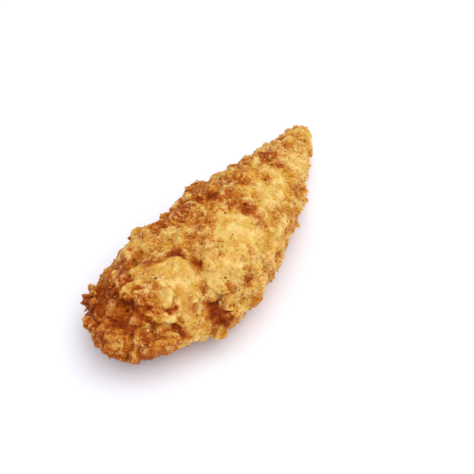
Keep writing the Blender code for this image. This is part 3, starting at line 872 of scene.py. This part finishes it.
class Nodes:
    """Short calls that add shader nodes and link their inputs."""

    def __init__(self, material):
        self.tree = material.node_tree

    def add(self, kind, **settings):
        node = self.tree.nodes.new(kind)
        inputs = settings.pop("inputs", {})
        for key, value in settings.items():
            setattr(node, key, value)
        for key, value in inputs.items():
            if isinstance(value, bpy.types.NodeSocket):
                self.tree.links.new(value, node.inputs[key])
            else:
                node.inputs[key].default_value = value
        return node

    def attribute(self, name):
        return self.add("ShaderNodeAttribute", attribute_name=name).outputs["Fac"]

    def math(self, operation, a, b):
        return self.add("ShaderNodeMath", operation=operation, inputs={0: a, 1: b}).outputs[0]

    def total(self, *terms):
        """The sum of (socket, weight) pairs and plain numbers."""
        result = 0.0
        for term in terms:
            if isinstance(term, tuple):
                term = self.math("MULTIPLY", *term)
            result = self.math("ADD", term, result)
        return result

    def voronoi(self, where, scale):
        """A random colour for each small cell of space, with wandering borders."""
        stir = self.add("ShaderNodeTexNoise", inputs={"Vector": where, "Scale": scale * 1.3})
        stir = self.add(
            "ShaderNodeVectorMath",
            operation="SCALE",
            inputs={0: stir.outputs["Color"], "Scale": 0.8 / scale},
        )
        moved = self.add("ShaderNodeVectorMath", inputs={0: where, 1: stir.outputs[0]})
        inputs = {"Vector": moved.outputs[0], "Scale": scale}
        return self.add("ShaderNodeTexVoronoi", inputs=inputs).outputs["Color"]

    def channels(self, colour):
        return self.add("ShaderNodeSeparateColor", inputs={"Color": colour}).outputs

    def noise(self, where, scale, detail=2.0, rough=0.5):
        inputs = {"Vector": where, "Scale": scale, "Detail": detail, "Roughness": rough}
        return self.add("ShaderNodeTexNoise", inputs=inputs).outputs["Fac"]

    def spread(self, value, low, high, to_low=0.0, to_high=1.0):
        inputs = {"Value": value, 1: low, 2: high, 3: to_low, 4: to_high}
        return self.add("ShaderNodeMapRange", inputs=inputs).outputs[0]

    def mix(self, share, a, b):
        node = self.add("ShaderNodeMix", data_type="RGBA", inputs={0: share, 6: a, 7: b})
        return node.outputs[2]

    def ramp(self, value, stops):
        node = self.add("ShaderNodeValToRGB", inputs={"Fac": value})
        elements = node.color_ramp.elements
        while len(elements) < len(stops):
            elements.new(0.5)
        for element, (place, colour) in zip(elements, stops):
            element.position = place
            element.color = srgb(colour)
        return node.outputs["Color"]


def srgb(code):
    """A linear colour from six hexadecimal digits."""
    parts = [int(code[i : i + 2], 16) / 255 for i in (0, 2, 4)]
    return (*[c / 12.92 if c <= 0.04045 else ((c + 0.055) / 1.055) ** 2.4 for c in parts], 1.0)


# Colours, the crust's from untoasted to browned
CRUST_COLOURS = (
    (0.0, "DEB966"),
    (0.2, "D2A446"),
    (0.38, "BE741C"),
    (0.56, "AC5608"),
    (0.74, "9C4406"),
    (0.9, "8C3804"),
    (1.0, "722A04"),
)
# a paler tint for the tops of the crags, drier crust with a painted highlight on it
DRY_TOPS_HIGHLIGHT = "D0924A"
SOAKED_OIL = "CE9A30"
PINK = "DEA066"
CREAM = "F2D68C"
PEPPER_COLOURS = ("241206", "4A2810")
FLOOR_COLOURS = ("F5F7FD", "F8F9FE")


def crust_material():
    """Fried batter: pale gold on the pillows, orange brown painted shade in creases and hollows,
    browned crumbs.
    """
    material = bpy.data.materials.new("fried_crust")
    material.use_nodes = True
    n = Nodes(material)
    tree = material.node_tree
    shader = tree.nodes["Principled BSDF"]
    where = n.add("ShaderNodeTexCoord").outputs["Object"]
    names = ("crag", "wide_rise_shading", "near", "browned_and_shaded", "crease_shade")
    rough, wide_rise_shading, near, browned_and_shaded, crease_shade = (n.attribute(name) for name in names)
    patches = n.noise(where, 130.0, 2.0, 0.5)
    mottle = n.noise(where, 450.0, 3.0, 0.6)
    speckle = n.noise(where, 1300.0, 2.0, 0.6)
    grain_toast, grain_yellow, grain_pink = list(n.channels(n.voronoi(where, 800.0)))[:3]
    # how toasted the crust looks: browning from crags, spots and noise, with painted shade in
    # hollows, creases and low down and painted highlight on bumps
    toast_and_shade = n.total(
        (rough, 0.22),
        (wide_rise_shading, -0.17),
        (near, -0.11),
        (browned_and_shaded, 0.67),
        (crease_shade, 0.3),
        (n.spread(patches, 0.3, 0.7, -1.0, 1.0), 0.1),
        (n.spread(mottle, 0.3, 0.7, -1.0, 1.0), 0.06),
        (n.spread(speckle, 0.3, 0.7, -1.0, 1.0), 0.13),
        (n.spread(grain_toast, 0.0, 1.0, -1.0, 1.0), 0.06),
        (n.spread(n.noise(where, 1100.0, 1.0, 0.5), 0.66, 0.72), 0.3),
        0.275,
    )
    colour = n.ramp(toast_and_shade, CRUST_COLOURS)
    # paler, pinker tops on the bumps of the crags, drier crust with a painted highlight, and yellow
    # oil soaked into the smooth crust
    pale = n.spread(toast_and_shade, 0.3, 0.7, 1.0, 0.0)
    highlit_tops = n.math("MULTIPLY", n.spread(near, 0.1, 0.7), n.spread(rough, 0.2, 0.7, 0.0, 0.35))
    colour = n.mix(highlit_tops, colour, srgb(DRY_TOPS_HIGHLIGHT))
    soaked = n.spread(n.noise(where, 210.0, 3.0, 0.6), 0.44, 0.62, 0.0, 0.6)
    soaked = n.total(soaked, (n.spread(grain_yellow, 0.6, 1.0), 0.3))
    soaked = n.math("MULTIPLY", soaked, n.spread(rough, 0.0, 0.6, 1.0, 0.3))
    colour = n.mix(n.math("MULTIPLY", soaked, pale), colour, srgb(SOAKED_OIL))
    pink = n.math("MULTIPLY", n.spread(grain_pink, 0.6, 1.0, 0.0, 0.4), pale)
    colour = n.mix(pink, colour, srgb(PINK))
    cream = n.spread(n.noise(where, 280.0, 4.0, 0.65), 0.47, 0.64, 0.0, 0.7)
    colour = n.mix(n.math("MULTIPLY", cream, pale), colour, srgb(CREAM))
    tree.links.new(colour, shader.inputs["Base Color"])
    tree.links.new(n.spread(mottle, 0.3, 0.7, 0.38, 0.62), shader.inputs["Roughness"])
    shader.inputs["Specular IOR Level"].default_value = 0.08
    shader.inputs["Subsurface Weight"].default_value = 0.35
    shader.inputs["Subsurface Radius"].default_value = (1.0, 0.45, 0.15)
    shader.inputs["Subsurface Scale"].default_value = 1.5 * MM
    inputs = {"Strength": 0.7, "Distance": 0.15 * MM, "Height": n.noise(where, 1900.0, 2.0, 0.6)}
    bump = n.add("ShaderNodeBump", inputs=inputs)
    tree.links.new(bump.outputs["Normal"], shader.inputs["Normal"])
    return material


def two_tone_material(name, scale, colours, roughness, shine):
    """A plain material whose colour wanders between two close ones."""
    material = bpy.data.materials.new(name)
    material.use_nodes = True
    n = Nodes(material)
    shader = material.node_tree.nodes["Principled BSDF"]
    where = n.add("ShaderNodeTexCoord").outputs["Object"]
    share = n.spread(n.noise(where, scale), 0.4, 0.6)
    colour = n.mix(share, *[srgb(code) for code in colours])
    material.node_tree.links.new(colour, shader.inputs["Base Color"])
    shader.inputs["Roughness"].default_value = roughness
    shader.inputs["Specular IOR Level"].default_value = shine
    return material


def finish_piece(obj, material):
    obj.data.shade_smooth()
    obj.data.materials.clear()
    obj.data.materials.append(material)
    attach(obj, "root")
    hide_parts(NODE)


# The camera: where it looks from, in degrees, and at, in millimetres
AZIMUTH = -56.0
ELEVATION = 48.0
LENS = 100.0
SENSOR = 36.0
DISTANCE = 429.6
TARGET = (4.1, 0.64, 3.8)

# The studio, in metres. A light: azimuth and elevation in degrees, distance, size, watts, colour
FLOOR_HALF = 3.0
KEY_LIGHT = (75.0, 62.0, 1.0, 1.3, 4.3, (1.0, 0.985, 0.95))
FILL_LIGHT = (-40.0, 50.0, 1.2, 1.0, 3.8, (1.0, 0.985, 0.96))
LIGHT_TARGET = (0, 0, 0.01)
SKY_COLOUR = (0.95, 0.96, 1.0, 1.0)
SKY_STRENGTH = 0.83


def make_floor():
    bm = bmesh.new()
    bmesh.ops.create_grid(bm, x_segments=1, y_segments=1, size=FLOOR_HALF)
    mesh = bpy.data.meshes.new("floor")
    bm.to_mesh(mesh)
    bm.free()
    floor = new_object("floor", mesh)
    floor.data.materials.append(two_tone_material("white_floor", 3.0, FLOOR_COLOURS, 0.6, 0.2))


def direction(azimuth, elevation):
    """A unit vector from the object towards that azimuth and elevation."""
    a, e = math.radians(azimuth), math.radians(elevation)
    return Vector((math.sin(a) * math.cos(e), -math.cos(a) * math.cos(e), math.sin(e)))


def look_at(obj, place, target):
    obj.location = place
    obj.rotation_mode = "QUATERNION"
    obj.rotation_quaternion = (Vector(target) - place).to_track_quat("-Z", "Y")


def make_camera():
    camera = bpy.data.objects.new("camera", bpy.data.cameras.new("camera"))
    bpy.context.scene.collection.objects.link(camera)
    camera.data.lens = LENS
    camera.data.sensor_width = SENSOR
    camera.data.clip_start = 0.01
    target = Vector(TARGET) * MM
    look_at(camera, target + direction(AZIMUTH, ELEVATION) * DISTANCE * MM, target)
    bpy.context.scene.camera = camera


def make_light(name, azimuth, elevation, distance, size, watts, colour):
    light = bpy.data.lights.new(name, "AREA")
    light.shape = "DISK"
    light.size = size
    light.energy = watts
    light.color = colour
    obj = bpy.data.objects.new(name, light)
    bpy.context.scene.collection.objects.link(obj)
    look_at(obj, direction(azimuth, elevation) * distance, LIGHT_TARGET)


def make_studio():
    make_light("key", *KEY_LIGHT)
    make_light("fill", *FILL_LIGHT)
    world = bpy.data.worlds.new("studio")
    world.use_nodes = True
    background = world.node_tree.nodes["Background"]
    background.inputs["Color"].default_value = SKY_COLOUR
    background.inputs["Strength"].default_value = SKY_STRENGTH
    bpy.context.scene.world = world
    bpy.context.scene.view_settings.view_transform = "Standard"


make_camera()
make_studio()
make_floor()
draw = random.Random(SEED)
core = make_core()
swell_core(core)
crust = make_crust(core, draw)
detail_crust(crust)
values = crust_values(crust)
add_attributes(crust.data, values)
crumbs = fine_crumbs("crumbs", crust, values, draw, CRUMBS, 1.0)
flakes = fine_crumbs("flakes", crust, values, draw, FLAKES, 2.0)
pepper = make_pepper(crust, draw)
crust_look = crust_material()
for piece in (crust, crumbs, flakes):
    finish_piece(piece, crust_look)
finish_piece(pepper, two_tone_material("pepper", 2000.0, PEPPER_COLOURS, 0.9, 0.05))
